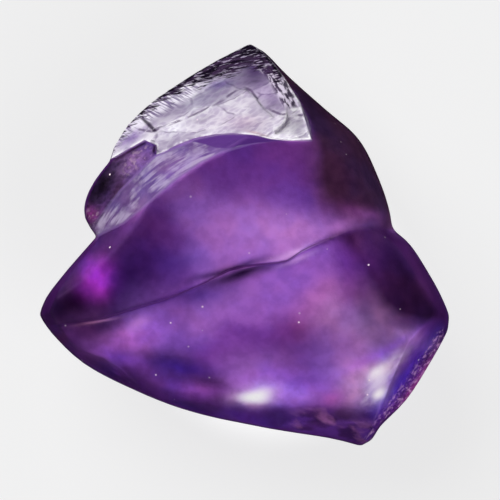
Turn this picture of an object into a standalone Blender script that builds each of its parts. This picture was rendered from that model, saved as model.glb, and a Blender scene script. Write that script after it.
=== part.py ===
"""Rough alexandrite: one broken piece of clear violet crystal, lying on its flat back.

Run with: blender --background --python part.py
Frame: +Z up, the broad broken front looks up, +Y runs to the pointed crown.
The origin is the middle of the stone's box, on the flat face that it rests on.
"""

import math

import bmesh
import bpy
from mathutils import Matrix, Vector, geometry

MM = 0.001

# Driving sizes, in millimetres.
CROWN_TOP = 8.7  # height that the uncut dome would reach
KEEL_DEPTH = -2.2  # depth that the uncut belly would reach
DOME_POWER = 2.2  # 2 is an ellipse, more is a squarer shoulder
BELLY_POWER = 2.0
CENTRE = (0.2, -0.6)  # the point that the blank's rings shrink towards
OUTLINE_STEP = 0.45  # length of one edge along the girdle
FACE_STEP = 0.62  # spacing of the points on a broken face
RINGS = (1.0, 0.985, 0.95, 0.89, 0.8, 0.68, 0.52, 0.34, 0.16)
NOTCH_FADE = 2.2  # how soon the inner rings lose the notches of the girdle
CUT_TOP = 9.3  # above everything
DRUM_RINGS = (0.4, 0.9, 1.5, 2.2, 3.1, 4.2, 5.6, 7.5, 10.5, 15.0)  # radii of a chip cutter's rings
DRUM_TOP = 50.0  # length of that cutter
DRUM_SIDES = 28
OUTSIDE = 9.6  # clear of the stone all round
WALL_OVERLAP = 0.03  # how far a cut reaches past the one beside it
ROUNDING = 0.14  # how softly the broad faces round over into their shoulders
LOBE_DIP = 0.5  # how far the shoulder dips behind the lower lobe
LOBE_DIP_AT = (5.3, 1.2)
LOBE_DIP_WIDTH = 1.26
BEVEL_START = (-5.76, 0.33)  # the bevel's upper line starts here and runs along BEVEL_WAY
BEVEL_WAY = (0.832, 0.555)
BEVEL_STEP = 0.04
BEVEL_FALL = 0.75  # its fall for each mm to the upper left
WINDOW_LEDGE = 0.22  # how far the upper window lies below the lower one
STRIP_LEDGE = 0.1  # the same for the strip along its right wall
STRIP_FALL = 0.3

# The girdle, run by run between its corners: x, y and height z of each point.
GIRDLE = {
    "shoulder": [(0.21, 7.85, 3.3), (0.77, 7.53, 3.3), (1.75, 6.54, 3.3), (3.05, 5.38, 3.4),
                 (4.43, 4.17, 3.5), (5.24, 2.57, 3.5), (5.66, 1.3, 3.4), (5.74, 0.62, 3.4)],
    "lower_lobe": [(5.74, 0.62, 3.4), (6.3, 0.2, 3.4), (6.78, -0.42, 3.3), (7.6, -1.82, 3.2),
                   (8.0, -2.72, 3.1)],
    "chipped_edge": [(8.0, -2.72, 3.1), (7.95, -3.3, 3.1), (7.23, -4.61, 3.0), (6.3, -6.06, 2.8),
                     (5.3, -7.08, 2.6), (4.98, -7.6, 2.5), (4.55, -7.85, 2.5)],
    "lower_edge": [(4.55, -7.85, 2.5), (3.32, -7.54, 2.6), (0.98, -7.16, 2.7), (-2.04, -6.51, 2.7),
                   (-4.27, -5.68, 2.7), (-6.29, -4.61, 2.9), (-7.57, -3.38, 3.1), (-8.0, -2.71, 3.2)],
    "left_edge": [(-8.0, -2.71, 3.2), (-7.74, -2.04, 3.3), (-6.9, -0.95, 3.4), (-5.76, 0.33, 3.4)],
    "left_lobe": [(-5.76, 0.33, 3.4), (-6.22, 1.05, 3.2), (-6.2, 1.75, 3.1), (-5.85, 2.5, 3.1),
                  (-5.26, 3.28, 3.2)],
    "crown_edge": [(-5.26, 3.28, 3.2), (-5.1, 3.8, 3.2), (-4.35, 4.88, 3.2), (-3.3, 5.8, 3.2),
                   (-1.82, 6.77, 3.2), (-0.5, 7.5, 3.3), (0.21, 7.85, 3.3)],
}

# Lines that part the broken faces of the front: x and y, left to right.
STEP_LINE = [(-9.5, -3.6), (-7.75, -3.1), (-6.33, -2.95), (-5.43, -2.84), (-4.3, -2.5), (-3.1, -2.14),
             (-1.54, -1.48), (-0.57, -0.97), (0.5, -0.78), (1.57, -0.66), (2.16, -0.27), (3.32, 0.28),
             (4.1, 0.59), (5.08, 0.68), (5.74, 0.62), (8.5, 0.9)]
TERRACE_EDGE = [(-8.5, -1.6), (-5.76, 0.33), (-4.68, 0.95), (-3.61, 1.76), (-2.72, 2.48), (-1.82, 3.1),
                (-0.93, 3.55), (0.23, 3.9), (1.3, 4.07), (2.56, 4.04)]
WINDOW_SILL = [(-3.43, 3.46), (-2.72, 3.82), (-1.82, 4.08), (-0.93, 4.26), (-0.04, 4.26), (0.86, 4.17),
               (1.75, 4.02), (2.6, 4.04)]
WINDOW_RIGHT = [(2.6, 4.04), (2.48, 4.73), (2.17, 5.5), (1.86, 6.13), (1.55, 6.5), (1.13, 6.91),
                (0.66, 7.42), (0.4, 8.6)]
LOBE_RIM = [(-6.2, 2.9), (-5.26, 3.28), (-4.46, 3.74), (-3.88, 4.05), (-3.6, 4.1), (-3.43, 3.85),
            (-3.43, 3.46)]
LOBE_FOOT = [(-3.43, 3.46), (-4.07, 2.85), (-4.85, 2.07), (-5.44, 1.29), (-5.79, 0.59), (-6.8, -0.4)]
WINDOW_STEP = [(-5.6, 3.9), (-3.46, 4.52), (-2.11, 4.95), (-1.4, 5.3), (-0.8, 5.75), (0.0, 6.05),
               (0.35, 5.8), (0.6, 5.4), (1.18, 4.87)]
STRIP_LINE = [(1.0, 4.27), (1.33, 4.47), (1.65, 4.83), (1.6, 5.45), (1.45, 6.1), (1.0, 6.75)]

# The broad faces of the front: a point on each, its slopes along X and Y, and its bends.
FLOORS = {
    "terrace": ((0.5, 1.5, 7.1), (0.06, 0.0), (-0.016, -0.03)),
    "shoulder": ((3.9, 3.2, 6.75), (-0.62, -0.42), (-0.05, -0.05)),
    "lower_face": ((-0.57, -0.97, 6.3), (0.1, 0.24), (0.0, -0.03)),
    "lobe_face": ((5.6, -1.4, 6.5), (-0.62, -0.12), (-0.03, 0.0)),
    "left_lobe": ((-4.85, 2.07, 5.25), (0.3, -0.05), (-0.1, -0.06)),
    "window": ((0.0, 4.2, 6.05), (0.26, -0.6), (-0.05, 0.02)),
}

# Broken faces beyond the lines above: a point on each, the way it looks, and its hollow for each mm.
CHIPS = {
    "right_edge": ((6.95, -4.4, 3.9), (0.75, -0.52, 0.41), 0.01),
    "tip": ((4.5, -7.3, 3.6), (-0.1, -0.85, 0.52), 0.03),
    "nick_right": ((2.4, -7.2, 3.6), (-0.1, -0.82, 0.56), 0.12),
    "nick_middle": ((-1.3, -6.5, 3.7), (-0.22, -0.82, 0.54), 0.08),
    "nick_left": ((-4.7, -5.35, 3.7), (-0.5, -0.68, 0.54), 0.09),
    "left_corner": ((-6.7, -0.9, 4.95), (-0.6, 0.44, 0.66), 0.02),
    "crown_left": ((-2.75, 5.55, 3.9), (-0.42, 0.62, 0.66), 0.01),
    "crown_apex": ((-0.6, 6.6, 4.2), (-0.36, 0.55, 0.75), 0.03),
    "rest_face": ((0.0, 0.0, 0.0), (0.0, 0.0, -1.0), 0.0),
    "under_crown": ((0.9, 3.4, 0.3), (0.04, 0.2, -0.98), 0.008),
    "under_left": ((-3.4, -1.6, 0.2), (-0.16, 0.0, -0.99), 0.012),
    "under_low": ((0.6, -3.9, 0.2), (0.03, -0.16, -0.99), 0.01),
    "under_tip": ((3.9, -4.9, 0.6), (0.16, -0.2, -0.97), 0.014),
    "back_low": ((-2.6, -5.3, 1.3), (-0.16, -0.46, -0.87), 0.03),
    "back_left": ((-5.9, -2.1, 1.4), (-0.5, -0.05, -0.86), 0.03),
    "back_notch": ((-4.5, 2.2, 1.3), (-0.6, 0.3, -0.74), 0.06),
    "back_crown": ((-1.4, 5.8, 1.9), (-0.2, 0.55, -0.81), 0.03),
    "back_shoulder": ((4.2, 3.2, 1.7), (0.6, 0.34, -0.72), 0.03),
    "back_right": ((6.2, -1.6, 1.4), (0.55, 0.06, -0.83), 0.04),
    "back_tip": ((3.6, -6.2, 1.3), (0.1, -0.6, -0.79), 0.05),
    "wall_left": ((-6.9, -1.6, 2.4), (-0.75, 0.35, -0.56), 0.06),
    "wall_low_left": ((-5.2, -4.6, 2.0), (-0.55, -0.6, -0.58), 0.05),
    "wall_low": ((1.0, -6.08, 1.52), (-0.1, -0.78, -0.62), 0.06),
    "wall_right": ((7.2, -3.4, 2.1), (0.75, -0.3, -0.58), 0.05),
    "wall_shoulder": ((3.4, 4.4, 2.3), (0.6, 0.6, -0.52), 0.04),
    "wall_crown": ((-3.4, 4.9, 2.2), (-0.6, 0.55, -0.58), 0.06),
}


def through(points, step):
    """Points about `step` apart on a smooth curve through the given ones, without the last."""
    first = tuple(2 * a - b for a, b in zip(points[0], points[1]))
    last = tuple(2 * a - b for a, b in zip(points[-1], points[-2]))
    padded = [Vector(p) for p in (first, *points, last)]
    found = []
    for before, start, end, after in zip(padded, padded[1:], padded[2:], padded[3:]):
        count = max(1, round((end - start).length / step))
        for i in range(count):
            t = i / count
            found.append(0.5 * (2 * start + (end - before) * t
                                + (2 * before - 5 * start + 4 * end - after) * t ** 2
                                + (3 * start - before - 3 * end + after) * t ** 3))
    return found


def loop_through(runs, step=OUTLINE_STEP):
    """A closed loop made of smooth runs that meet at corners."""
    return [point for run in runs for point in through(run, step)]


def turn_of(loop):
    """Twice the area of a flat loop, positive where it runs anticlockwise."""
    return sum(a.cross(b) for a, b in zip(loop, loop[1:] + loop[:1]))


def inside(point, loop):
    """Whether a flat point lies inside a loop, by the crossings of a ray along +X."""
    crossings = 0
    for a, b in zip(loop, loop[1:] + loop[:1]):
        if (a.y > point.y) != (b.y > point.y):
            crossings += point.x < a.x + (point.y - a.y) * (b.x - a.x) / (b.y - a.y)
    return crossings % 2 == 1


def new_object(name, bm, collection):
    """Turns a bmesh in millimetres into an object in metres, with its faces pointing out."""
    bmesh.ops.recalc_face_normals(bm, faces=bm.faces)
    bmesh.ops.scale(bm, vec=(MM, MM, MM), verts=bm.verts)
    mesh = bpy.data.meshes.new(name)
    bm.to_mesh(mesh)
    bm.free()
    obj = bpy.data.objects.new(name, mesh)
    collection.objects.link(obj)
    return obj


def new_collection(name):
    collection = bpy.data.collections.new(name)
    bpy.context.scene.collection.children.link(collection)
    return collection


def blank(collection):
    """The uncut stone: a domed and bellied pebble whose rim is the girdle."""
    rim = loop_through(GIRDLE.values())
    span = len(rim)
    middle = Vector((*CENTRE, sum(p.z for p in rim) / span))
    reach = [(p - middle).xy.length for p in rim]
    smooth = [sum(reach[(i + k) % span] for k in range(-span // 8, span // 8 + 1)) for i in range(span)]
    smooth = [total / len(range(-span // 8, span // 8 + 1)) for total in smooth]
    bm = bmesh.new()

    def ring(share, pole, power):
        """The rim drawn in to `share` of its size, its notches fading, at its height on the dome."""
        height = (1 - share ** power) ** (1 / power)
        fade = share ** NOTCH_FADE
        verts = []
        for point, own, near in zip(rim, reach, smooth):
            flat = (point - middle).xy.normalized() * (fade * own + (1 - fade) * near) * share
            level = point.z * share + middle.z * (1 - share)
            z = level + (pole - level) * height
            verts.append(bm.verts.new((middle.x + flat.x, middle.y + flat.y, z)))
        return verts

    girdle = ring(RINGS[0], CROWN_TOP, DOME_POWER)
    for pole, power in ((CROWN_TOP, DOME_POWER), (KEEL_DEPTH, BELLY_POWER)):
        outer = girdle
        for share in RINGS[1:]:
            inner = ring(share, pole, power)
            for i in range(span):
                j = (i + 1) % span
                bm.faces.new((outer[i], outer[j], inner[j], inner[i]))
            outer = inner
        tip = bm.verts.new((middle.x, middle.y, pole))
        for i in range(span):
            bm.faces.new((outer[i], outer[(i + 1) % span], tip))
    return new_object("alexandrite", bm, collection)


def new_cutter(stone, name, bm, collection):
    """Adds a cutter and the Boolean modifier that takes it away from the stone."""
    cutter = new_object(name, bm, collection)
    cutter.hide_render = True
    cutter.display_type = "WIRE"
    cut = stone.modifiers.new(name, "BOOLEAN")
    cut.operation = "DIFFERENCE"
    cut.solver = "EXACT"
    cut.object = cutter
    return cutter


def scoop(stone, name, runs, floor, collection):
    """Takes away what stands above z = floor(x, y) inside the loop of `runs`."""
    loop = [p.to_2d() for p in loop_through(runs)]
    if turn_of(loop) < 0:
        loop.reverse()
    count = len(loop)
    low = Vector((min(p.x for p in loop), min(p.y for p in loop)))
    high = Vector((max(p.x for p in loop), max(p.y for p in loop)))
    row_step = FACE_STEP * 0.866
    inner = []
    for row in range(int((high.y - low.y) / row_step) + 1):
        for column in range(int((high.x - low.x) / FACE_STEP) + 1):
            point = low + Vector(((column + 0.5 * (row % 2)) * FACE_STEP, (row + 0.5) * row_step))
            clear = min((point - p).length for p in loop) > FACE_STEP * 0.6
            if clear and inside(point, loop):
                inner.append(point)
    edges = [(i, (i + 1) % count) for i in range(count)]
    points, _, faces, *_ = geometry.delaunay_2d_cdt(loop + inner, edges, [], 1, 1e-5)
    bm = bmesh.new()
    bottom = [bm.verts.new((p.x, p.y, floor(p.x, p.y))) for p in points]
    for face in faces:
        bm.faces.new([bottom[i] for i in face])
    lid = [bm.verts.new((p.x, p.y, CUT_TOP)) for p in loop]
    for i in range(count):
        j = (i + 1) % count
        bm.faces.new((bottom[i], bottom[j], lid[j], lid[i]))
    bm.faces.new(lid)
    return new_cutter(stone, name, bm, collection)


def surface(at, slope, bend=(0.0, 0.0)):
    """The height z(x, y) of a broken face: its point, its slopes along X and Y, and its bends.

    A positive bend hollows the face and a negative one domes it.
    """
    def z(x, y):
        dx, dy = x - at[0], y - at[1]
        return at[2] + slope[0] * dx + slope[1] * dy + bend[0] * dx ** 2 + bend[1] * dy ** 2
    return z


def chip(stone, name, at, normal, hollow, collection):
    """Takes away what lies beyond a face through `at` that looks along `normal`.

    The cutter is a turned drum whose end bulges, so that the face is hollow, or domed where `hollow` < 0.
    """
    bm = bmesh.new()
    profile = [(0.0, 0.0), *((r, hollow * r ** 2) for r in DRUM_RINGS), (DRUM_RINGS[-1], DRUM_TOP), (0.0, DRUM_TOP)]
    verts = [bm.verts.new((r, 0.0, z)) for r, z in profile]
    edges = [bm.edges.new(pair) for pair in zip(verts, verts[1:])]
    bmesh.ops.spin(bm, geom=verts + edges, axis=(0.0, 0.0, 1.0), cent=(0.0, 0.0, 0.0),
                   angle=math.tau, steps=DRUM_SIDES)
    bmesh.ops.remove_doubles(bm, verts=bm.verts, dist=1e-4)
    turn = Vector(normal).to_track_quat("Z", "Y").to_matrix().to_4x4()
    bmesh.ops.transform(bm, matrix=Matrix.Translation(at) @ turn, verts=bm.verts)
    return new_cutter(stone, name, bm, collection)


def rounded(*floors):
    """The lowest of several floors, with the ridges between them rounded off."""
    def z(x, y):
        heights = [floor(x, y) for floor in floors]
        return -ROUNDING * math.log(sum(math.exp(-height / ROUNDING) for height in heights))
    return z


floors = {name: surface(*values) for name, values in FLOORS.items()}


def terrace(x, y):
    """The middle face, which rounds over into the shoulder and dips behind the lower lobe."""
    away = math.hypot(x - LOBE_DIP_AT[0], y - LOBE_DIP_AT[1]) / LOBE_DIP_WIDTH
    return rounded(floors["terrace"], floors["shoulder"])(x, y) - LOBE_DIP * math.exp(-away ** 2)


def bevel(x, y):
    """The streaked strip that falls from the terrace to the upper left."""
    past = Vector((x, y)) - Vector(BEVEL_START)
    return floors["terrace"](x, y) - BEVEL_STEP - BEVEL_FALL * Vector(BEVEL_WAY).cross(past)


def window_upper(x, y):
    """The window's upper part, a ledge below the lower one."""
    return floors["window"](x, y) - WINDOW_LEDGE


def window_strip(x, y):
    """The strip along the window's right wall, which falls towards that wall."""
    return floors["window"](x, y) - STRIP_LEDGE - STRIP_FALL * (x - STRIP_LINE[0][0])


def ring_of(*runs):
    """The runs, and straight ones from the end of each to the start of the next."""
    links = [[run[-1], following[0]] for run, following in zip(runs, runs[1:] + runs[:1])]
    ring = [part for pair in zip(runs, links) for part in pair]
    return [part for part in ring if len(part) > 1 and part[0] != part[-1]]


def cut_front(stone, cutters):
    left, right = -OUTSIDE, OUTSIDE
    step_low = [(x, y + WALL_OVERLAP) for x, y in STEP_LINE[::-1]]
    right_low = [(x - WALL_OVERLAP, y) for x, y in WINDOW_RIGHT[-2:0:-1]]
    cuts = {
        "terrace": (terrace, STEP_LINE, [(right, OUTSIDE)], [(left, OUTSIDE)]),
        "lower_face": (rounded(floors["lower_face"], floors["lobe_face"]),
                       step_low, [(left, -OUTSIDE)], [(right, -OUTSIDE)]),
        "bevel": (bevel, TERRACE_EDGE, [(TERRACE_EDGE[-1][0], OUTSIDE)], [(TERRACE_EDGE[0][0], OUTSIDE)]),
        "left_lobe": (floors["left_lobe"], LOBE_FOOT, [(-8.0, 1.5)], [(-6.0, 4.6)], [(-3.2, 4.6)], [(-3.2, 3.9)]),
        "window": (floors["window"], WINDOW_SILL, WINDOW_RIGHT, [(-6.2, 8.6)], LOBE_RIM),
        "window_upper": (window_upper, WINDOW_STEP, [(2.0, 5.4)], [(0.3, 8.6)], [(-6.2, 8.6)]),
        "window_strip": (window_strip, STRIP_LINE, right_low, [(2.5, 4.15)]),
    }
    for name, (floor, *runs) in cuts.items():
        scoop(stone, name, ring_of(*runs), floor, cutters)


def main():
    for obj in list(bpy.data.objects):
        bpy.data.objects.remove(obj)
    stone = blank(new_collection("rough_alexandrite"))
    cutters = new_collection("cutters")
    cut_front(stone, cutters)
    for name, (at, normal, hollow) in CHIPS.items():
        chip(stone, name, at, normal, hollow, cutters)
    crystal = bpy.data.materials.new("violet_crystal")
    crystal.use_nodes = True
    shader = crystal.node_tree.nodes["Principled BSDF"]
    shader.inputs["Base Color"].default_value = (0.21, 0.06, 0.32, 1.0)
    shader.inputs["Roughness"].default_value = 0.3
    shader.inputs["Transmission Weight"].default_value = 0.8
    shader.inputs["IOR"].default_value = 1.745
    stone.data.materials.append(crystal)


main()
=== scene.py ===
"""Looks of a rough alexandrite: one broken violet crystal lying on its flat back on a pale glass table."""

import math

import bmesh
import bpy
import numpy as np
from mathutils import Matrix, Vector, noise


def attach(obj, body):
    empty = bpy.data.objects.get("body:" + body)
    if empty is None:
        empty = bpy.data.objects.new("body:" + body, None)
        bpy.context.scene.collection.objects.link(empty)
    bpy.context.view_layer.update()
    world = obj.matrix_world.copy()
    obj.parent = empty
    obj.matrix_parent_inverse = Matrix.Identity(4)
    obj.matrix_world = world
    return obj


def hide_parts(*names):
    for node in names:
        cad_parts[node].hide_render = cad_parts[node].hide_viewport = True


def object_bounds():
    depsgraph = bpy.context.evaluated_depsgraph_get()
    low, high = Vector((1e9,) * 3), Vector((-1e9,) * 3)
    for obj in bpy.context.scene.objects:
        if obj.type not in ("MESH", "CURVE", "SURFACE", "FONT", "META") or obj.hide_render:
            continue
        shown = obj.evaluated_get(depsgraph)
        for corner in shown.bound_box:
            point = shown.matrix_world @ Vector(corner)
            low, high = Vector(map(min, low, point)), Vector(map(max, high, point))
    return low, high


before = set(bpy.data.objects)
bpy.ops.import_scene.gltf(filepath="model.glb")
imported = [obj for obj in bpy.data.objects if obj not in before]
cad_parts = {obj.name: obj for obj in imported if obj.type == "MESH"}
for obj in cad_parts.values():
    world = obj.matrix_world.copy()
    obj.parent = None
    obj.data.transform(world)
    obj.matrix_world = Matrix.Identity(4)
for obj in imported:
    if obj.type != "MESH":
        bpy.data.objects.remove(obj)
cad_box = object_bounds()


# ---- The stone's body -------------------------------------------------------------------------
# One fragment of clear chrysoberyl. Its broad faces are old breaks that have gone waxy and soft at
# their ridges, so the solid is remeshed finely and its ridges are worn down a little.

MM = 0.001  # one millimetre, in the scene's metres
SEWN = 0.0001  # points closer than this are one point, mm
GRAIN = 0.055  # spacing of the fine mesh's points, mm


def plain_mesh(name, mesh, kind, inputs=None, **settings):
    """A copy of a mesh with one modifier made part of it. `inputs` are a node tree's, by name."""
    piece = bpy.data.objects.new(name, mesh)
    bpy.context.scene.collection.objects.link(piece)
    modifier = piece.modifiers.new(kind, kind)
    for key, value in settings.items():
        setattr(modifier, key, value)
    if inputs:
        for socket in modifier.node_group.interface.items_tree:
            if socket.name in inputs:
                modifier[socket.identifier] = inputs[socket.name]
    graph = bpy.context.evaluated_depsgraph_get()
    result = bpy.data.meshes.new_from_object(piece.evaluated_get(graph))
    bpy.data.objects.remove(piece)
    result.name = name
    return result


def merged_copy(node):
    """The node's mesh with its loose triangles sewn together."""
    bm = bmesh.new()
    bm.from_mesh(node.data)
    bmesh.ops.remove_doubles(bm, verts=bm.verts, dist=SEWN * MM)
    bmesh.ops.recalc_face_normals(bm, faces=bm.faces)
    mesh = bpy.data.meshes.new("sewn")
    bm.to_mesh(mesh)
    bm.free()
    return mesh


fine = plain_mesh("stone", merged_copy(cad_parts["alexandrite"]), "REMESH",
                  mode="VOXEL", voxel_size=GRAIN * MM)


# ---- Where each kind of break lies ------------------------------------------------------------
# Each outline, in mm seen from above, bounds one kind of surface. Every point of the mesh is told
# how deep inside each outline it lies, and the relief and the colours start from these depths.

BREAKS = {
    # The fresh break at the top, and what lies on it.
    "window": [(-3.43, 3.46), (-3.08, 3.59), (-2.61, 3.86), (-1.93, 4.11), (-1.2, 4.25), (-0.42, 4.3),
               (0.36, 4.22), (0.99, 4.06), (1.65, 4.0), (2.6, 4.04), (2.17, 5.5), (1.55, 6.5),
               (0.5, 7.9), (-1.8, 7.8), (-4.8, 5.6), (-6.2, 3.0), (-5.26, 3.28), (-3.88, 4.05),
               (-3.43, 3.85)],
    "upper_plate": [(-3.6, 4.4), (-1.93, 5.06), (-0.96, 5.53), (-0.33, 6.0), (0.0, 6.1), (0.25, 6.0),
                    (0.62, 5.47), (1.05, 5.2), (1.4, 5.05), (2.6, 5.0), (2.4, 6.8), (0.3, 8.4),
                    (-2.0, 7.6), (-5.6, 4.8)],
    "right_facet": [(0.99, 3.8), (1.28, 4.4), (1.55, 4.75), (1.72, 5.2), (2.7, 5.4), (2.9, 3.9)],
    "crack": [(-4.12, 4.97), (-3.95, 5.0), (-3.62, 4.72), (-3.35, 4.4), (-3.52, 4.36), (-3.82, 4.66)],
    # The crown, in painted shade.
    "crown_shade": [(-5.4, 3.6), (-4.9, 3.95), (-4.15, 4.85), (-3.1, 5.62), (-2.2, 6.05), (-1.3, 6.3),
                   (-0.4, 6.6), (0.3, 6.9), (0.8, 6.7), (1.2, 6.2), (2.0, 6.6), (0.9, 8.6),
                   (-2.5, 8.2), (-6.5, 5.0)],
    "hackles": [(-3.0, 5.55), (-2.2, 5.65), (-1.2, 6.15), (-0.2, 6.7), (0.4, 7.0), (0.6, 8.4),
                (-2.6, 7.4)],
    "feathers": [(-5.4, 3.4), (-4.3, 4.2), (-3.3, 4.9), (-2.0, 5.6), (-1.5, 6.2), (-2.4, 7.2),
                 (-6.2, 5.6)],
    "chatter": [(0.2, 7.1), (0.8, 6.45), (1.2, 5.7), (1.55, 5.15), (2.2, 5.3), (1.8, 6.4),
                (0.9, 7.6)],
    # The chipped right edge, and the bevelled strip at the left with its lobe, and the crescent of painted
    # shadow under the window's sill.
    "chips": [(4.5, -7.7), (5.0, -6.7), (5.9, -5.5), (6.7, -4.4), (7.5, -3.1), (8.4, -3.2),
              (7.2, -5.6), (5.6, -7.9)],
    "strip": [(-5.76, 0.33), (-4.68, 0.85), (-3.61, 1.7), (-2.72, 2.48), (-1.82, 3.1), (-0.93, 3.55),
              (0.23, 3.9), (1.3, 4.07), (2.56, 4.04), (-0.04, 4.26), (-1.82, 4.08), (-3.43, 3.46),
              (-4.85, 2.07), (-5.9, 0.7)],
    "crescent_shadow": [(-2.2, 4.02), (-1.2, 4.3), (-0.42, 4.34), (0.36, 4.28), (0.99, 4.1), (1.8, 4.02),
                 (0.99, 3.95), (0.37, 3.9), (-0.18, 3.8), (-0.65, 3.7), (-1.11, 3.72), (-1.54, 3.86)],
    "lobe": [(-3.43, 3.46), (-4.85, 2.07), (-5.9, 0.4), (-7.0, 1.2), (-6.4, 3.0), (-5.26, 3.28),
             (-3.88, 4.05), (-3.43, 3.85)],
    # The face below the ridge, and the painted shade of the right shoulder and of the body at the lower
    # right.
    "lower": [(-9.5, -3.6), (-7.75, -3.1), (-6.33, -2.95), (-5.43, -2.84), (-4.3, -2.5),
              (-3.1, -2.14), (-1.54, -1.48), (-0.57, -0.97), (0.5, -0.78), (1.57, -0.66),
              (2.16, -0.27), (3.32, 0.28), (4.1, 0.59), (5.08, 0.68), (5.74, 0.62), (9.5, 0.9),
              (9.5, -9.5), (-9.5, -9.5)],
    "shoulder_shade": [(-0.5, 7.6), (0.8, 5.8), (1.6, 4.6), (1.9, 4.0), (2.1, 3.4), (2.1, 2.4), (2.4, 1.4),
             (3.2, 0.7), (5.4, 0.0), (8.5, 0.0), (8.5, 8.5), (1.0, 9.0)],
    "body_shade": [(3.0, 0.5), (3.8, -0.6), (4.5, -1.7), (5.0, -2.6), (5.7, -3.15), (6.8, -3.42),
                  (8.6, -3.45), (8.8, 0.0), (6.2, 1.4), (4.1, 1.2)],
    # The right glint's crinkled painted highlight, and the foot, which is crushed inside the crystal.
    "crinkles": [(4.0, -6.3), (4.6, -5.0), (5.4, -4.1), (6.4, -3.7), (6.9, -3.8), (6.2, -4.9),
                 (5.0, -6.5)],
    "foot": [(1.2, -6.4), (2.4, -5.9), (3.6, -5.9), (4.6, -6.4), (5.3, -6.7), (5.4, -8.2),
             (2.4, -8.0), (1.2, -7.4)],
    # Where the ridges are worn the most.
    "shoulders": [(3.0, 6.0), (2.6, 4.0), (3.2, 2.4), (5.2, 1.0), (4.2, -0.6), (5.0, -2.8),
                  (7.4, -3.6), (9.0, -1.0), (6.6, 3.0)],
}
TWO_SIDED = ("lower", "shoulder_shade", "shoulders")  # these reach through to the stone's back
FARTHEST = 1.5  # depths beyond this are all written as this, mm
LEVEL = 0.1  # a face looks up or down when its normal rises or falls by more than this


def points_of(mesh, kind="co"):
    """The mesh's points as rows of x, y and z in mm, or with "normal" their normals."""
    flat = np.empty(len(mesh.vertices) * 3, np.float32)
    mesh.vertices.foreach_get(kind, flat)
    return flat.reshape(-1, 3).astype(float) / (MM if kind == "co" else 1.0)


def set_points(mesh, points):
    """Moves the mesh's points to the rows' places in mm."""
    mesh.vertices.foreach_set("co", (points * MM).astype(np.float32).ravel())
    mesh.update()


def write_values(mesh, name, values):
    """Writes one number on each of the mesh's points."""
    layer = mesh.attributes.get(name) or mesh.attributes.new(name, "FLOAT", "POINT")
    layer.data.foreach_set("value", values.astype(np.float32))


def depth_inside(points, outline):
    """How deep inside a flat outline each point lies, in mm, and less than 0 outside it."""
    x, y = points[:, 0], points[:, 1]
    nearest = np.full(len(points), np.inf)
    odd = np.zeros(len(points), bool)
    for (ax, ay), (bx, by) in zip(outline, outline[1:] + outline[:1]):
        dx, dy = bx - ax, by - ay
        along = np.clip(((x - ax) * dx + (y - ay) * dy) / (dx ** 2 + dy ** 2), 0, 1)
        nearest = np.minimum(nearest, np.hypot(x - ax - along * dx, y - ay - along * dy))
        if dy:
            odd ^= ((ay > y) != (by > y)) & (x < ax + (y - ay) * dx / dy)
    return np.clip(np.where(odd, nearest, -nearest), -FARTHEST, FARTHEST)


def mark_breaks(mesh):
    """Writes the depths onto the mesh's points. Faces that look sideways or down are outside."""
    points = points_of(mesh)
    upward = points_of(mesh, "normal")[:, 2]
    depths = {}
    for name, outline in BREAKS.items():
        depths[name] = depth_inside(points, outline)
        if name not in TWO_SIDED:
            depths[name] = np.minimum(depths[name], (upward - LEVEL) * 2 * FARTHEST)
        write_values(mesh, name, depths[name])
    write_values(mesh, "under", -LEVEL - upward)
    return depths


# How many times each kind of place is eased, so that its ridges look worn. The fresh breaks keep their
# shape, and so does the rim, which broke sharp.
WEAR = {"all": 2, "faces": 12, "shoulders": 60, "back": 30}
FRESH_EDGE = 0.125  # a fresh break is unworn from this deep inside its outline, mm
STRIP_FRESHNESS = 0.6  # the strip is a little more worn than the window
SHOULDER_REACH = 0.5  # the shoulders' wear fades out this far past their outline, mm
RIM_TILT = 0.2  # the rim lies where faces meet whose normals rise and fall by more than this
RIM_TIMES, RIM_GAIN = 14, 10  # how far the rim reaches from there, and how soon it is all rim
BACK_GAIN, BACK_START = 3, 0.3  # how soon a face that looks down counts as the back


def eased(mesh, rows, share, times):
    """The points' rows drawn half way to their neighbours' middle, each by its share, several times."""
    ends = np.empty(len(mesh.edges) * 2, np.int32)
    mesh.edges.foreach_get("vertices", ends)
    first, second = ends.reshape(-1, 2).T
    count = np.bincount(np.r_[first, second], minlength=len(rows))[:, None]
    for _ in range(times):
        total = np.zeros_like(rows)
        for column in range(rows.shape[1]):
            total[:, column] = np.bincount(first, rows[second, column], len(rows))
            total[:, column] += np.bincount(second, rows[first, column], len(rows))
        rows = rows + share[:, None] * 0.5 * (total / count - rows)
    return rows


depths = mark_breaks(fine)
fresh = np.clip(np.maximum(depths["window"], STRIP_FRESHNESS * depths["strip"]) / FRESH_EDGE, 0, 1)
upward = points_of(fine, "normal")[:, 2]
everywhere = np.ones(len(upward))
sides = np.stack([upward > RIM_TILT, upward < -RIM_TILT], 1).astype(float)
sides = eased(fine, sides, everywhere, RIM_TIMES)
inner = 1 - np.clip(sides[:, 0] * sides[:, 1] * RIM_GAIN, 0, 1)
write_values(fine, "rim", 1 - inner)
back = np.clip(-upward * BACK_GAIN - BACK_START, 0, 1)
shoulders = np.clip(depths["shoulders"] + SHOULDER_REACH, 0, 1)
points = eased(fine, points_of(fine), everywhere, WEAR["all"])
points = eased(fine, points, inner * (1 - fresh), WEAR["faces"])
points = eased(fine, points, inner * shoulders, WEAR["shoulders"])
set_points(fine, eased(fine, points, inner * back, WEAR["back"]))


# ---- Violet chrysoberyl -----------------------------------------------------------------------
# Clear chromium-bearing chrysoberyl, IOR 1.745, broken and never polished: light passes through it,
# softened by the frosted skin of its faces, and comes out violet after a few millimetres.

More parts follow.
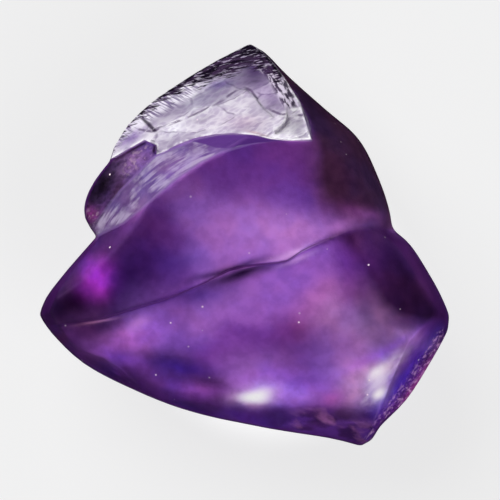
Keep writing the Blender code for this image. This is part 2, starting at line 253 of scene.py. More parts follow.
CRYSTAL_IOR = 1.745
MILKY = 0.02  # how much light still passes straight through the cloudiest places
ABSORPTION = 180.0  # per metre, so that the body is violet after a few millimetres
ROUGHEST, SMOOTHEST = 0.4, 0.3  # a frosted skin, a little uneven
FROST_SIZE, FROST_DEPTH = 0.08, 0.02  # the frost's grain and its depth, mm
SHARP = 0.05  # over this many mm one kind of break gives way to the next
LINE_CORE = 0.3  # a line is solid over this share of its width
LAYER = 4.0  # how far streaks and cells reach through the stone, mm
WAVER, WAVER_SIZE = 0.35, 0.625  # how far cells' borders waver, and over what length, mm
PLATES = (14, 2.0, 0.75)  # the window's large plates: their turn in degrees, length and width in mm
CHANCE, PLATE_EDGE_LIGHT = 0.5, 0.7  # how much a plate's tone is chance, and how much it is painted lighter to its edges, as painted shading
THINNED = -0.1  # how much weaker the strip's streaks are away from its edges
BEND_CENTRE, BEND_RADIUS = (1.0, -3.0, 0.0), 6.9  # the ring along which the strip bends, mm


def colour(hex_value):
    """An sRGB hex value as the linear colour that the shaders take."""
    channels = [int(hex_value[i:i + 2], 16) / 255 for i in (0, 2, 4)]
    linear = [c / 12.92 if c <= 0.04045 else ((c + 0.055) / 1.055) ** 2.4 for c in channels]
    return (*linear, 1.0)


def add(tree, kind, feeds=(), out=0, **settings):
    """Adds a node with its settings, feeds its inputs with values or sockets, and returns one output."""
    node = tree.nodes.new(kind)
    for key, value in settings.items():
        setattr(node, key, value)
    for key, value in feeds.items() if isinstance(feeds, dict) else enumerate(feeds):
        if isinstance(value, bpy.types.NodeSocket):
            tree.links.new(value, node.inputs[key])
        else:
            node.inputs[key].default_value = value
    return node.outputs[out] if len(node.outputs) else node


crystal = bpy.data.materials.new("violet_chrysoberyl")
crystal.use_nodes = True
violet = crystal.node_tree
violet.nodes.clear()
place_mm = add(violet, "ShaderNodeVectorMath", {
    0: add(violet, "ShaderNodeTexCoord", out="Object"), "Scale": 1 / MM}, operation="SCALE")


def spread(value, low, high):
    """What lies between low and high spread smoothly over 0 to 1, or over 1 to 0 if low is the higher."""
    return add(violet, "ShaderNodeMapRange", (value, low, high), interpolation_type="SMOOTHSTEP")


def depth(name):
    """How deep inside a break's outline the place lies, in mm."""
    return add(violet, "ShaderNodeAttribute", out="Fac", attribute_name=name)


def inside(name, soft=SHARP):
    """Where a kind of break lies, setting in over `soft` mm at its outline."""
    return spread(depth(name), 0.0, soft)


def outline_of(name, width):
    """A line along a break's outline."""
    off = add(violet, "ShaderNodeMath", (depth(name),), operation="ABSOLUTE")
    return spread(off, width, width * LINE_CORE)


def all_of(*patterns):
    """Several patterns multiplied: where all of them lie. A plain number among them is a strength."""
    share = patterns[0]
    for pattern in patterns[1:]:
        share = add(violet, "ShaderNodeMath", (share, pattern), operation="MULTIPLY")
    return share


def any_of(*patterns):
    """The strongest of several patterns: where any of them lies."""
    share = patterns[0]
    for pattern in patterns[1:]:
        share = add(violet, "ShaderNodeMath", (share, pattern), operation="MAXIMUM")
    return share


def all_but(pattern):
    """Where a pattern doesn't lie."""
    return add(violet, "ShaderNodeMath", (1.0, pattern), operation="SUBTRACT")


def grain(size, detail=2.0):
    """Even noise of a size in mm."""
    return add(violet, "ShaderNodeTexNoise", {"Vector": place_mm, "Scale": 1 / size, "Detail": detail})


def laid_along(place, angle, length, width):
    """A place turned to run along `angle`, and counted in lengths and widths."""
    return add(violet, "ShaderNodeMapping", {
        "Vector": place, "Rotation": (0.0, 0.0, math.radians(angle)),
        "Scale": (length, width, LAYER)}, vector_type="TEXTURE")


def streaks(angle, length, width):
    """Noise drawn out along `angle`, in streaks of a length and width in mm."""
    return add(violet, "ShaderNodeTexNoise", {
        "Vector": laid_along(place_mm, angle, length, width), "Scale": 1.0, "Detail": 3.0})


def cells(angle, length, width, **settings):
    """Irregular cells, long along `angle`, with borders that waver."""
    waver = add(violet, "ShaderNodeTexNoise", {"Vector": place_mm, "Scale": 1 / WAVER_SIZE}, out="Color")
    bent = add(violet, "ShaderNodeVectorMath", (waver, (WAVER, WAVER, 0.0), place_mm),
               operation="MULTIPLY_ADD")
    return add(violet, "ShaderNodeTexVoronoi", {
        "Vector": laid_along(bent, angle, length, width), "Scale": 1.0}, **settings).node.outputs


def plates(angle, length, width):
    """Small plates: each has a tone of its own by chance, and is painted lighter towards its edges as
    painted shading.
    """
    cell = cells(angle, length, width)
    chance = add(violet, "ShaderNodeSeparateColor", (cell["Color"],))
    # The plates' painted shading: lighter towards their edges.
    rise = all_of(cell["Distance"], PLATE_EDGE_LIGHT)
    return add(violet, "ShaderNodeMath", (chance, CHANCE, rise), operation="MULTIPLY_ADD")


def bent_streaks(length, width):
    """Noise drawn out along rings about the middle that the strip bends around."""
    outward = add(violet, "ShaderNodeVectorMath", (place_mm, BEND_CENTRE), operation="SUBTRACT")
    x, y, _ = add(violet, "ShaderNodeSeparateXYZ", (outward,)).node.outputs
    around = all_of(add(violet, "ShaderNodeMath", (y, x), operation="ARCTAN2"), BEND_RADIUS / length)
    flat = add(violet, "ShaderNodeCombineXYZ", (x, y, 0.0))
    away = add(violet, "ShaderNodeVectorMath", {0: flat}, out="Value", operation="LENGTH")
    laid = add(violet, "ShaderNodeCombineXYZ", (around, all_of(away, 1 / width), 0.0))
    return add(violet, "ShaderNodeTexNoise", {"Vector": laid, "Scale": 1.0, "Detail": 3.0})


def toned(first, second, share, **settings):
    """One colour drawn towards another by a share. Each is a hex value or comes from a node."""
    first, second = (colour(tone) if isinstance(tone, str) else tone for tone in (first, second))
    return add(violet, "ShaderNodeMix", {0: share, 6: first, 7: second}, out=2,
               data_type="RGBA", **settings)


def filtered(first, second, share=1.0):
    """One colour seen through another, by a share."""
    return toned(first, second, share, blend_type="MULTIPLY")


def clouded(cloud, milk, share):
    """The cloudiness drawn towards another by a share."""
    return add(violet, "ShaderNodeMix", {0: share, 2: cloud, 3: milk})


def overlaid(tint, cloud, share, tone, milk):
    """The colour and the cloudiness drawn towards others by the same share."""
    return toned(tint, tone, share), clouded(cloud, milk, share)


def painted(surface):
    """A surface's own colour and cloudiness, as they are written on the points."""
    paint = add(violet, "ShaderNodeAttribute", attribute_name=surface + "_paint").node.outputs
    return paint["Color"], paint["Alpha"]


def drifts(tint, cloud):
    """Drifts of redder and bluer violet a few millimetres across, and a fine mottling."""
    drift = toned("FFDCF2", "CCC4FF", spread(grain(2.2, 3.0), 0.35, 0.65))
    mottle = toned("D4CCD8", "FFFFFF", spread(grain(0.45, 4.0), 0.3, 0.7))
    tint = filtered(filtered(tint, drift), mottle)
    # The lower face's densest clouds, among them its painted highlights and painted shade, keep their own
    # colour.
    own, density = painted("lower")
    return toned(tint, own, all_of(spread(density, 0.45, 1.0), inside("lower"))), cloud


def crinkled_glint(tint, cloud):
    """Painted highlights in crinkled streaks near the lower right edge, where the right glint lies."""
    crinkles = all_of(inside("crinkles", 0.7), spread(streaks(48, 0.6, 0.26), 0.42, 0.66), 0.6)
    return overlaid(tint, cloud, crinkles, "F4E8FF", 0.85)


def crushed_foot(tint, cloud):
    """The foot, which is crushed inside: dark, with redder and bluer crumbs."""
    crumbs = toned("240C38", "6230A0", spread(grain(0.8, 5.0), 0.4, 0.62))
    crumbs = toned(crumbs, "B870B4", spread(streaks(-20, 0.9, 0.5), 0.5, 0.72))
    return overlaid(tint, cloud, all_of(inside("foot", 0.8), 0.75), crumbs, 0.6)


def strip_streaks(tint, cloud):
    """The strip's pale streaks, which bend along it and crowd at its edges, and its pale seam."""
    thinned = add(violet, "ShaderNodeMath", (inside("strip", 0.9), THINNED, bent_streaks(1.1, 0.13)),
                  operation="MULTIPLY_ADD")
    wisps = all_of(spread(thinned, 0.34, 0.54), spread(grain(0.7, 4.0), 0.35, 0.6))
    tint, cloud = overlaid(tint, cloud, all_of(wisps, inside("strip", 0.08), 0.5), "D2C8DE", 0.9)
    seam = outline_of("strip", 0.08)
    return toned(tint, "8A7CA4", all_of(seam, 0.4)), any_of(cloud, all_of(seam, 0.5))


def fresh_break(tint, cloud):
    """The painted shadow under the window's sill, the window's colours, and its large and small plates,
    painted lighter and darker as if lit at odd tilts, with cracks along some of their borders.
    """
    for surface in ("crescent_shadow", "window"):
        tint, cloud = overlaid(tint, cloud, inside(surface), *painted(surface))
    large = toned("A298B2", "FFFFFF", spread(plates(*PLATES), 0.2, 0.9))
    small = toned("D2CADC", "FFFFFF", spread(plates(26, 0.3, 0.11), 0.2, 0.9))
    border = spread(cells(*PLATES, feature="DISTANCE_TO_EDGE")["Distance"], 0.05, 0.0)
    cracks = all_of(border, spread(grain(0.9), 0.46, 0.58), 0.7)
    shattered = toned(filtered(large, small), "5C4C74", cracks)
    return filtered(tint, shattered, all_of(inside("window"), 0.85)), cloud


def window_edges(tint, cloud):
    """The window's feathers at the left, a painted shadow along the upper plate's step and the dark crack
    across it, and painted white highlights along its outline and the right facet's.
    """
    window = inside("window")
    feathered = toned("6C5E84", "F6F2FC", spread(streaks(-30, 0.8, 0.09), 0.42, 0.56))
    tint = toned(tint, feathered, all_of(window, inside("feathers", 0.35), 0.75))
    # A painted shadow along the upper plate's step.
    ledge_shadow = all_of(outline_of("upper_plate", 0.07), spread(grain(0.6), 0.42, 0.55))
    tint = toned(tint, "4C3A5C", all_of(window, ledge_shadow, 0.75))
    tint = toned(tint, "1A0E26", all_of(spread(depth("crack"), -0.03, 0.06), 0.9))
    # Painted white highlights along the window's outline and the right facet's.
    edge_highlight = any_of(outline_of("right_facet", 0.1), outline_of("window", 0.14))
    return toned(tint, "FFFFFF", all_of(window, edge_highlight, spread(grain(0.4), 0.4, 0.55), 0.8)), cloud


def crown_shade_and_highlights(tint, cloud):
    """The chattered right edge of the window, painted with dark and white streaks as shade and highlights
    on its marks, and the crown in painted shade with ticks and painted white highlights.
    """
    window = inside("window")
    chatter = toned("20102E", "E8DEF0", spread(streaks(-62, 0.3, 0.13), 0.44, 0.58))
    tint = toned(tint, chatter, all_of(window, inside("chatter", 0.2), 0.9))
    # The crown's painted shade reaches past its outline in ticks, where the streaks are strong.
    ticks = add(violet, "ShaderNodeMath", (streaks(12, 0.55, 0.07), 1.5, depth("crown_shade")),
                operation="MULTIPLY_ADD")
    dark = all_of(window, spread(ticks, 0.72, 0.96))
    # Painted white highlights on the crown.
    glints = all_of(spread(streaks(14, 0.4, 0.06), 0.55, 0.64), 0.6)
    return overlaid(tint, cloud, dark, toned("0C0614", "CCC0DA", glints), 0.85)


def lobe_skin(tint, cloud):
    """The lobe's crazed skin, painted lighter and darker by small plates as painted shading, and speckled
    where its painted shade is weak.
    """
    crazed = toned("403448", "FFFFFF", plates(30, 0.24, 0.14))
    tint = filtered(tint, crazed, all_of(inside("lobe", 0.1), 0.85))
    speckle = all_of(spread(grain(0.2, 4.0), 0.5, 0.62), spread(depth("lobe"), 0.05, 0.25))
    lighter = spread(painted("lobe")[1], 0.75, 0.4)
    return toned(tint, "D0B4C4", all_of(speckle, lighter, 0.6)), cloud


def chipped_edge(tint, cloud):
    """The chipped edge at the right, with painted white and red violet highlights glinting on its chips."""
    painted_sparkle = all_of(inside("chips", 0.25), spread(streaks(54, 0.24, 0.1), 0.5, 0.62))
    return toned(tint, "E8B0E4", all_of(painted_sparkle, 0.55)), clouded(cloud, 0.8, all_of(painted_sparkle, 0.5))


def shaded_and_stained_rim(tint, cloud):
    """Faces at the rim that tilt sharply are painted dark as painted shade, and iron stains the very rim
    red in places.
    """
    normal = add(violet, "ShaderNodeTexCoord", out="Normal")
    rise = add(violet, "ShaderNodeSeparateXYZ", (normal,), out=2)
    tilt = spread(add(violet, "ShaderNodeMath", (rise,), operation="ABSOLUTE"), 0.62, 0.25)
    others = any_of(inside("window"), spread(depth("chips"), -0.2, 0.2), spread(depth("strip"), -0.3, 0.0),
                    inside("shoulder_shade", 0.8))
    # Painted shade on sharply tilted faces.
    steep_shade = all_of(tilt, all_but(others))
    tint, cloud = toned(tint, "48145F", all_of(steep_shade, 0.8)), any_of(cloud, all_of(steep_shade, 0.6))
    stain = all_of(spread(grain(0.9, 3.0), 0.46, 0.6), spread(depth("rim"), 0.35, 0.9), 0.75)
    return toned(tint, "8C3430", stain), cloud


def dust(tint, cloud):
    """Dust and tiny bubbles just under the skin, some hardly there. Most real ones are finer than
    these, which are about 0.1 mm across so that they show."""
    specks = add(violet, "ShaderNodeTexVoronoi", {"Vector": place_mm, "Scale": 1.4}).node.outputs
    bright = all_of(spread(specks["Color"], 0.3, 0.8), spread(specks["Distance"], 0.075, 0.03))
    return overlaid(tint, cloud, bright, "FFE8F6", 1.0)


def clear_underside(tint, cloud):
    """The underside is clear where the bright spots of the faces above get their light."""
    tone, clearness = painted("under")
    clear = all_of(inside("under", 0.2), clearness)
    return toned(tint, tone, clear), all_of(cloud, all_but(clear))


# The surfaces' own colours lie one over the other, the shoulder's and the body's being painted shade, and
# each kind of place then has its finish. The numbers say over how many mm a surface sets in.
SOFT_EDGES = {"shoulder_shade": 1.1, "lower": SHARP, "body_shade": 0.75, "lobe": SHARP, "strip": SHARP}
tint, cloud = painted("terrace")
for surface, soft in SOFT_EDGES.items():
    tint, cloud = overlaid(tint, cloud, inside(surface, soft), *painted(surface))
for finish in (drifts, crinkled_glint, crushed_foot, strip_streaks, fresh_break, window_edges, crown_shade_and_highlights,
               lobe_skin, chipped_edge, shaded_and_stained_rim, dust, clear_underside):
    tint, cloud = finish(tint, cloud)

frost = add(violet, "ShaderNodeBump", {
    "Height": grain(FROST_SIZE, 3.0), "Strength": 0.3, "Distance": FROST_DEPTH * MM})
rough = add(violet, "ShaderNodeMapRange", (grain(1.5, 3.0), 0.35, 0.65, SMOOTHEST, ROUGHEST))
# A frosted skin mirrors less than a polished one, and what it mirrors looks violet.
skin = add(violet, "ShaderNodeBsdfPrincipled", {
    "Base Color": tint, "Roughness": rough, "IOR": CRYSTAL_IOR,
    "Transmission Weight": all_but(all_of(cloud, 1.0 - MILKY)),
    "Specular IOR Level": 0.15, "Specular Tint": colour("9561AD"), "Normal": frost})
body = add(violet, "ShaderNodeVolumeAbsorption", {"Color": colour("DCB0E4"), "Density": ABSORPTION})
add(violet, "ShaderNodeOutputMaterial", {"Surface": skin, "Volume": body})


# ---- Fine relief of the breaks ----------------------------------------------------------------
# Brittle crystal parts in small tilted facets, in ribs like a shell's, in hackles that run out to
# the edge and in streaks. The tree moves points along their normals, each where its break lies.

# In mm. A depth is about how high a pattern stands from its lowest to its highest place, and the
# ribs' is half of that.
RELIEF = {
    "Facet Length": 1.5, "Facet Width": 0.7, "Facet Depth": 0.13,
    "Rib Spacing": 0.36, "Rib Depth": 0.01, "Rib Waver": 1.5, "Rib Centre X": 0.6, "Rib Centre Y": 1.6,
    "Hackle Length": 0.9, "Hackle Width": 0.16, "Hackle Depth": 0.08,
    "Streak Length": 2.2, "Streak Width": 0.22, "Streak Depth": 0.035,
    "Chip Size": 0.3, "Chip Depth": 0.12,
    "Nick Size": 0.45, "Nick Depth": 0.16,
    "Lobe Size": 0.6, "Lobe Depth": 0.12,
    "Swell Size": 2.4, "Swell Depth": 0.05,
    "Skin Size": 0.5, "Skin Depth": 0.012,
}
RELIEF_SEED = 7.0
RIB_LEVEL = 5.0  # height of the point that the ribs ring, mm
REST_CLEAR = 0.6  # below this height the relief fades out towards the table, mm
MOST_TRIANGLES = 190000


def relief_tree():
    """The node tree that raises and sinks each kind of break by patterns of its own."""
    tree = bpy.data.node_groups.new("relief_of_breaks", "GeometryNodeTree")
    tree.interface.new_socket("Geometry", in_out="INPUT", socket_type="NodeSocketGeometry")
    for name in RELIEF:
        tree.interface.new_socket(name, in_out="INPUT", socket_type="NodeSocketFloat")
    tree.interface.new_socket("Geometry", in_out="OUTPUT", socket_type="NodeSocketGeometry")
    given = add(tree, "NodeGroupInput").node.outputs
    place = add(tree, "ShaderNodeVectorMath", {
        0: add(tree, "GeometryNodeInputPosition"), "Scale": 1 / MM}, operation="SCALE")

    def share(name, soft):
        """How much of a kind of break a point belongs to, over `soft` mm at its outline."""
        depth = add(tree, "GeometryNodeInputNamedAttribute", {"Name": name}, data_type="FLOAT")
        return add(tree, "ShaderNodeMapRange", (depth, 0.0, soft), interpolation_type="SMOOTHSTEP")

    def laid(angle, length, width):
        """The place turned so that its X runs along `angle`, and counted in lengths and widths."""
        turned = add(tree, "ShaderNodeVectorRotate", {"Vector": place, "Angle": -math.radians(angle)},
                     rotation_type="Z_AXIS")
        size = add(tree, "ShaderNodeCombineXYZ", (given[length], given[width], LAYER))
        return add(tree, "ShaderNodeVectorMath", (turned, size), operation="DIVIDE")

    def height(pattern, middle, depth):
        """A pattern as a height in mm, up and down from its middle."""
        centred = add(tree, "ShaderNodeMath", (pattern, middle), operation="SUBTRACT")
        return add(tree, "ShaderNodeMath", (centred, given[depth]), operation="MULTIPLY")

    def rough(angle, length, width, depth, detail):
        """A height from noise laid along `angle`."""
        pattern = add(tree, "ShaderNodeTexNoise", {
            "Vector": laid(angle, length, width), "W": RELIEF_SEED, "Scale": 1.0, "Detail": detail},
            noise_dimensions="4D")
        return height(pattern, 0.5, depth)

    def facets(angle):
        """A height from four-sided facets that meet in creases."""
        cell = add(tree, "ShaderNodeTexVoronoi", {
            "Vector": laid(angle, "Facet Length", "Facet Width"), "W": RELIEF_SEED, "Scale": 1.0},
            voronoi_dimensions="4D", distance="CHEBYCHEV")
        return height(cell, 0.4, "Facet Depth")

    def ribs():
        """A height from rings about a point, which waver as they go round."""
        start = add(tree, "ShaderNodeCombineXYZ", (given["Rib Centre X"], given["Rib Centre Y"], RIB_LEVEL))
        away = add(tree, "ShaderNodeVectorMath", (place, start), out="Value", operation="DISTANCE")
        waver = rough(0, "Swell Size", "Swell Size", "Rib Waver", 2.0)
        bent = add(tree, "ShaderNodeMath", (waver, away), operation="ADD")
        rings = add(tree, "ShaderNodeMath", (bent, given["Rib Spacing"]), operation="DIVIDE")
        turns = add(tree, "ShaderNodeMath", (rings, 2 * math.pi), operation="MULTIPLY")
        return height(add(tree, "ShaderNodeMath", (turns,), operation="SINE"), 0.0, "Rib Depth")

    nicks = rough(0, "Nick Size", "Nick Size", "Nick Depth", 2.0)
    nicks = add(tree, "ShaderNodeMath", (nicks, 0.0), operation="MINIMUM")
    # Each pattern, and the kind of break that it belongs to with the mm over which it sets in there.
    total = 0.0
    for bumps, weight in (
            (facets(14), share("window", 0.3)),
            (ribs(), share("window", 0.3)),
            (rough(14, "Hackle Length", "Hackle Width", "Hackle Depth", 3.0), share("hackles", 0.4)),
            (rough(-28, "Hackle Length", "Hackle Width", "Hackle Depth", 3.0), share("feathers", 0.4)),
            (rough(0, "Chip Size", "Chip Size", "Chip Depth", 2.0), share("chatter", 0.2)),
            (rough(0, "Chip Size", "Chip Size", "Chip Depth", 2.0), share("chips", 0.3)),
            (nicks, share("rim", 1.0)),
            (rough(36, "Streak Length", "Streak Width", "Streak Depth", 3.0), share("strip", 0.2)),
            (rough(20, "Lobe Size", "Lobe Size", "Lobe Depth", 3.0), share("lobe", 0.3)),
            (rough(20, "Swell Size", "Swell Size", "Swell Depth", 1.0), 1.0),
            (rough(20, "Skin Size", "Skin Size", "Skin Depth", 4.0), 1.0)):
        total = add(tree, "ShaderNodeMath", (bumps, weight, total), operation="MULTIPLY_ADD")
    level = add(tree, "ShaderNodeSeparateXYZ", (place,), out=2)
    free = add(tree, "ShaderNodeMapRange", {"Value": level, "From Max": REST_CLEAR, "To Max": MM})
    raised = add(tree, "ShaderNodeMath", (total, free), operation="MULTIPLY")
    move = add(tree, "ShaderNodeVectorMath", {
        0: add(tree, "GeometryNodeInputNormal"), "Scale": raised}, operation="SCALE")
    moved = add(tree, "GeometryNodeSetPosition", {"Geometry": given["Geometry"], "Offset": move})
    real = add(tree, "GeometryNodeRealizeInstances", (moved,))
    dressed = add(tree, "GeometryNodeSetMaterial", {"Geometry": real, "Material": crystal})
    add(tree, "NodeGroupOutput", (dressed,))
    return tree


relief = plain_mesh("stone", fine, "NODES", RELIEF, node_group=relief_tree())
triangles = sum(len(face.vertices) - 2 for face in relief.polygons)
stone_mesh = plain_mesh("alexandrite_stone", relief, "DECIMATE", ratio=min(1.0, MOST_TRIANGLES / triangles))
lowest, highest = (np.array(corner) / MM for corner in cad_box)
set_points(stone_mesh, np.clip(points_of(stone_mesh), lowest, highest))
mark_breaks(stone_mesh)
stone_mesh.polygons.foreach_set("use_smooth", np.ones(len(stone_mesh.polygons), bool))
stone = bpy.data.objects.new("alexandrite_stone", stone_mesh)
bpy.context.scene.collection.objects.link(stone)


# ---- Colour zones inside the crystal, with painted light and shade ----------------------------
# Chromium and iron went unevenly into the crystal as it grew, so each surface has a colour of its own and
# soft clouds over it. Many of these are painted light and shade instead: painted glints, glows and halos
# where light comes through, painted highlights along the ridge, and painted shade where little light comes
# through. Both are written on the points.

# For each surface its colour, its cloudiness (how much light it scatters instead of passing), and its
# clouds: centre and half sizes in mm, turn in degrees, colour, strength and cloudiness. "under" is the
# stone's underside, where the last number says how clear it is instead.
PAINT = {
    "terrace": ("9460B0", 0.0, {
        "heart": (1.7, 0.7, 3.0, 1.4, -4, "B484C4", 0.95, 0.0),
        "strip foot": (-3.4, 0.9, 2.4, 0.8, 38, "68387E", 0.8, 0.1),
        # Painted shade at the left corner, and a painted glow above it where light comes through.
        "left painted shade": (-4.6, -1.1, 3.4, 1.6, 27, "4C2070", 1.0, 0.2),
        "left deep painted shade": (-6.6, -2.15, 3.1, 1.45, 30, "14021F", 1.0, 0.7),
        "left painted glow": (-5.75, -1.3, 0.88, 0.88, 0, "D850FF", 1.0, 0.7),
        "blue drift": (-2.3, -0.5, 0.9, 0.6, 10, "5244A0", 0.6, 0.0),
        # A painted glow above the right lobe, where light comes through.
        "shoulder painted glow": (4.5, 1.2, 1.5, 0.45, -12, "70407A", 0.8, 0.3),
        "upper brown": (-0.6, 2.6, 1.8, 1.0, 20, "9058A0", 0.7, 0.05),
        # Painted shade under the ridge's edge, and a painted highlight on it.
        "ridge shade": (-0.6, -0.95, 1.9, 0.19, 15, "200634", 1.0, 0.8),
        "ridge painted highlight": (2.0, -0.25, 1.1, 0.18, 24, "F8D8FF", 1.0, 0.6),
    }),
    "lower": ("7E4BAA", 0.0, {
        "left violet": (-4.4, -3.5, 2.4, 1.0, 28, "E090FF", 1.0, 0.5),
        # A painted highlight in the left violet.
        "left painted spark": (-4.05, -2.95, 0.9, 0.45, 30, "F0A0FF", 1.0, 0.75),
        # Painted shade in a wedge at the left corner.
        "left painted shade wedge": (-5.9, -3.25, 1.5, 0.4, 14, "1C0630", 0.9, 0.6),
        "left blue": (-4.7, -4.45, 1.9, 0.45, -24, "B070FF", 0.9, 0.5),
        "left corner": (-6.4, -3.2, 1.2, 0.5, -20, "6A3480", 0.8, 0.3),
        "upper blue": (-1.4, -1.8, 1.7, 0.65, 14, "40247A", 1.0, 0.0),
        "middle red": (2.2, -3.0, 1.7, 1.0, 10, "702868", 0.9, 0.15),
        "upper pink": (3.2, -1.9, 1.3, 0.7, 20, "A45C9C", 0.8, 0.1),
        "tan": (4.7, -2.7, 1.7, 1.3, 35, "DCB0C8", 0.85, 0.15),
        "lobe hem": (6.4, -3.6, 1.3, 0.4, -14, "F0C8FF", 0.9, 0.5),
        "tan foot": (4.2, -5.5, 1.0, 0.9, 40, "E0A8C8", 0.8, 0.2),
        "right blue": (6.2, -4.95, 2.7, 0.42, 55, "4A28E4", 1.0, 0.5),
        # The right glint and its cores are painted highlights, bright where light comes through.
        "right painted glint": (5.35, -4.75, 1.5, 0.62, 50, "FFE4F0", 1.0, 0.65),
        "right painted glint core": (5.2, -5.7, 0.6, 0.4, 60, "FFF8FF", 1.0, 1.0),
        "upper painted glint core": (5.05, -4.9, 0.6, 0.36, 50, "FFF6FF", 1.0, 0.95),
        "right chips": (6.85, -5.2, 2.6, 0.26, 55, "B04CA0", 1.0, 0.6),
        "magenta drop": (3.4, -5.95, 0.6, 0.4, 0, "D858C0", 0.6, 0.1),
        "low blue": (-2.3, -4.7, 1.7, 0.4, -6, "5C34C8", 0.9, 0.4),
        "low magenta": (-2.0, -5.45, 1.8, 0.5, -12, "CC7CF4", 0.9, 0.5),
        # A painted violet halo, then the glint low on the face with its core and tail: painted highlights.
        "low painted halo": (0.8, -5.65, 2.3, 0.8, 6, "B45CFF", 0.9, 0.4),
        "violet ray": (5.2, -4.2, 2.2, 0.3, 28, "C880FF", 0.8, 0.4),
        "low painted glint": (0.5, -5.83, 1.3, 0.5, 8, "F4DCFF", 1.0, 0.8),
        "low painted glint core": (0.32, -5.87, 1.0, 0.42, 8, "FFFFFF", 1.0, 1.0),
        "low painted glint tail": (1.9, -5.8, 0.8, 0.35, 0, "E0A0FF", 0.85, 0.5),
        "low hem": (-0.6, -6.8, 3.6, 0.5, -8, "8A48D0", 0.9, 0.2),
        "left hem": (-4.6, -5.3, 3.4, 0.4, -28, "6A2CA8", 0.85, 0.15),
        "tip": (4.6, -7.4, 0.8, 0.6, 0, "44205C", 0.9, 0.6),
        "rust": (-7.25, -3.7, 0.32, 0.28, 0, "A04830", 0.8, 0.4),
        # Painted highlights and painted shade along the ridge.
        "ridge painted highlight line": (-5.5, -2.93, 1.2, 0.065, 10, "F0B0DC", 0.8, 0.6),
        "ridge shade": (-0.1, -1.1, 1.9, 0.3, 16, "160428", 1.0, 0.85),
        "ridge painted highlight": (2.1, -0.5, 0.8, 0.1, 22, "F0C8FF", 0.7, 0.5),
    }),
    # The right shoulder in painted shade, dark and cloudy where it turns away from the light.
    "shoulder_shade": ("40283E", 0.88, {
        "foot": (4.6, 1.2, 1.3, 0.4, -12, "7C4480", 0.7, 0.4),
    }),
    # Painted shade over the body at the lower right, where little light comes through.
    "body_shade": ("2C1036", 0.65, {
        "edge": (7.2, -1.5, 2.2, 0.4, -58, "5C2C78", 0.8, 0.3),
        "left": (4.6, -0.9, 1.0, 1.4, 20, "5A2A60", 0.8, 0.3),
    }),
    "lobe": ("8C6AA8", 0.5, {
        # Painted shade over the lobe's left part, where little light comes through.
        "lobe painted shade": (-5.65, 2.5, 2.2, 1.05, 62, "040008", 1.0, 0.97),
        "purple": (-4.3, 3.2, 0.85, 0.5, 30, "CCB4E4", 0.95, 0.4),
        "brown": (-4.8, 2.0, 0.6, 0.5, 0, "5A3C44", 0.8, 0.7),
        "tip": (-5.95, 1.2, 0.4, 0.36, 0, "B052A8", 0.9, 0.4),
        "rim": (-4.3, 3.72, 0.95, 0.07, 28, "280414", 0.95, 0.8),
        "hook": (-3.5, 3.7, 0.09, 0.3, 0, "300818", 0.95, 0.8),
    }),
    "strip": ("7C6A92", 0.6, {
        "foot": (-5.0, 1.1, 1.2, 0.6, 40, "7C6E98", 0.8, 0.5),
        "blue": (-2.6, 2.9, 1.0, 0.25, 36, "8472B0", 0.7, 0.4),
    }),
    # The crescent under the window's sill is painted shadow.
    "crescent_shadow": ("4C2A76", 0.6, {}),
    "under": ("FFFFFF", 0.0, {
        "low painted glint": (0.6, -4.6, 1.5, 1.2, 10, "FFFFFF", 1.0, 1.0),
        "right painted glint": (4.6, -4.0, 2.0, 1.3, 54, "FFF4FF", 1.0, 1.0),
        "left violet": (-4.1, -3.2, 2.4, 1.2, 25, "D8A8FF", 1.0, 0.9),
        "tan": (3.9, -2.6, 1.4, 1.1, 25, "FFE8F0", 0.7, 0.5),
        "left painted glow": (-5.3, -1.2, 1.0, 0.9, 0, "F4B0FF", 1.0, 0.9),
        "low rim": (1.8, -4.9, 2.4, 1.0, 0, "E0B8FF", 0.8, 0.6),
    }),
    "window": ("E2DEE4", 0.9, {
        "plate grey": (-1.7, 5.6, 1.2, 0.45, 14, "C4C6D0", 0.9, 0.85),
        "plate lavender": (0.8, 6.0, 1.0, 0.6, -50, "B8A8C8", 0.8, 0.8),
        "violet smudge": (-0.9, 6.2, 0.75, 0.25, 8, "6C5CA4", 0.8, 0.7),
        "left white": (-2.8, 4.45, 0.9, 0.35, 24, "F4F4F8", 0.9, 0.95),
        "left violet": (-4.5, 4.1, 0.7, 0.4, 35, "B098D8", 0.8, 0.4),
        "pink plate": (0.0, 4.7, 0.9, 0.4, 0, "DCCCD6", 0.9, 0.9),
        "ripples": (-0.1, 5.35, 0.8, 0.3, 8, "F0EEF0", 0.9, 0.95),
        "crown violet": (0.5, 6.9, 1.2, 0.75, 20, "3C2A60", 0.95, 0.8),
        "tan sill": (0.5, 4.28, 0.5, 0.08, -14, "E8C0A0", 0.6, 0.5),
        "facet white": (1.7, 4.4, 1.0, 0.7, 0, "FFFFFF", 1.0, 0.95),
    }),
}

WANDER_SEED = 3  # another number above 0 gives the clouds' edges another course
WANDER = 0.32  # how far the clouds' edges wander, mm
NARROW = 0.45  # the edges of a small cloud wander no further than this share of its half height
BROAD, FINE = 0.6, 2.1  # large and small bends of the edges, per mm
FINE_SHARE = 0.3  # how far the small bends wander beside the large ones
FALL = 1.6  # how quickly a cloud thins out away from its middle


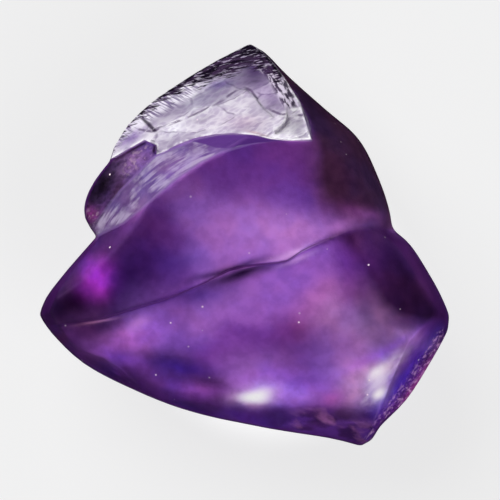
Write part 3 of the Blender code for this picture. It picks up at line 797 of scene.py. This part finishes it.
def paint_points(mesh):
    """Writes each surface's colour on the points, with its cloudiness as the colour's fourth part."""
    points = points_of(mesh)
    noise.seed_set(WANDER_SEED)
    wander = np.array([noise.noise_vector(point * BROAD) + noise.noise_vector(point * FINE) * FINE_SHARE
                       for point in map(Vector, points)])
    for surface, (base, cloud, clouds) in PAINT.items():
        paint = np.tile((*colour(base)[:3], cloud), (len(points), 1))
        for x, y, wide, high, turn, tone, strength, milk in clouds.values():
            place = points + wander * min(WANDER, high * NARROW)
            turned = (place[:, 0] - x + 1j * (place[:, 1] - y)) * np.exp(-1j * math.radians(turn))
            away = np.hypot(turned.real / wide, turned.imag / high)
            share = strength * np.exp(-FALL * away ** 2)[:, None]
            paint += share * ((*colour(tone)[:3], milk) - paint)
        layer = mesh.color_attributes.new(surface + "_paint", "FLOAT_COLOR", "POINT")
        layer.data.foreach_set("color", paint.astype(np.float32).ravel())


paint_points(stone_mesh)
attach(stone, "root")
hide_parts("alexandrite")


# ---- Table, light and camera ------------------------------------------------------------------
# A pale opal glass table that glows from a lamp under it, a dim room that is brighter at the horizon,
# a large soft lamp at the upper left and a weaker one at the lower right. The camera looks straight
# down through a long macro lens.

TABLE_SIDE = 6.0  # metres
TABLE_GLOW = 0.73
UNDER_GLOW = 0.5  # how much brighter the table is right over the lamp under it
UNDER_LAMP = (1.2 * MM, -2.2 * MM, 0.0)
GLOW_FROM, GLOW_TO = 2.5 * MM, 6.2 * MM  # the brighter place fades out between these distances
HORIZON, ZENITH = 0.22, 0.05  # brightness of the room at the table's height and straight up
HAZE = 0.05  # over this rise the room's dark lower half gives way to its upper half
LAMP_SIDE = 0.36  # metres
LAMPS = (("soft_lamp", 2.1, (-0.2, 0.28, 0.22)), ("fill_lamp", 1.5, (0.24, -0.3, 0.2)))  # watts and place
LENS_DISTANCE = 0.3  # metres
FOCUS_HEIGHT = 3.3  # height of the point that the lens's distance is taken from, mm
VIEW_WIDTH = 19.465  # how much the picture spans at that height, mm
VIEW_CENTRE = (0.21, -0.19)  # mm

bpy.ops.mesh.primitive_plane_add(size=TABLE_SIDE)
table = bpy.context.object
table.name = "table"
opal = bpy.data.materials.new("opal_glass_table")
opal.use_nodes = True
surface = opal.node_tree.nodes["Principled BSDF"]
surface.inputs["Base Color"].default_value = colour("6B6B6C")
surface.inputs["Roughness"].default_value = 0.6
surface.inputs["Specular IOR Level"].default_value = 0.2
surface.inputs["Emission Color"].default_value = colour("FFFFFF")
from_lamp = add(opal.node_tree, "ShaderNodeVectorMath", (
    add(opal.node_tree, "ShaderNodeTexCoord", out="Object"), UNDER_LAMP), out="Value", operation="DISTANCE")
glow = add(opal.node_tree, "ShaderNodeMapRange", (
    from_lamp, GLOW_FROM, GLOW_TO, TABLE_GLOW + UNDER_GLOW, TABLE_GLOW), interpolation_type="SMOOTHSTEP")
opal.node_tree.links.new(glow, surface.inputs["Emission Strength"])
table.data.materials.append(opal)
table.visible_glossy = False  # no mirror image of the table in the stone's flanks, as if polarised away

world = bpy.data.worlds.new("soft_room")
bpy.context.scene.world = world
world.use_nodes = True
room = world.node_tree
room.nodes.clear()
height = add(room, "ShaderNodeSeparateXYZ", (add(room, "ShaderNodeTexCoord", out="Generated"),), out=2)
falling = add(room, "ShaderNodeMapRange", (height, 0.0, 1.0, HORIZON, ZENITH))
above = add(room, "ShaderNodeMapRange", (height, -HAZE, HAZE))
light = add(room, "ShaderNodeMath", (falling, above), operation="MULTIPLY")
sky = add(room, "ShaderNodeBackground", {"Color": colour("F6F7FA"), "Strength": light})
add(room, "ShaderNodeOutputWorld", {"Surface": sky})

for name, watts, place in LAMPS:
    lamp_data = bpy.data.lights.new(name, "AREA")
    lamp_data.shape = "SQUARE"
    lamp_data.size = LAMP_SIDE
    lamp_data.energy = watts
    lamp = bpy.data.objects.new(name, lamp_data)
    bpy.context.scene.collection.objects.link(lamp)
    lamp.location = place
    lamp.rotation_mode = "QUATERNION"
    lamp.rotation_quaternion = lamp.location.to_track_quat("Z", "Y")

camera_data = bpy.data.cameras.new("macro_camera")
camera_data.lens = camera_data.sensor_width * LENS_DISTANCE / (VIEW_WIDTH * MM)
camera_data.clip_start = 0.01
camera_data.clip_end = 20.0
camera = bpy.data.objects.new("macro_camera", camera_data)
bpy.context.scene.collection.objects.link(camera)
camera.location = (VIEW_CENTRE[0] * MM, VIEW_CENTRE[1] * MM, LENS_DISTANCE + FOCUS_HEIGHT * MM)
bpy.context.scene.camera = camera
bpy.context.scene.view_settings.view_transform = "Standard"
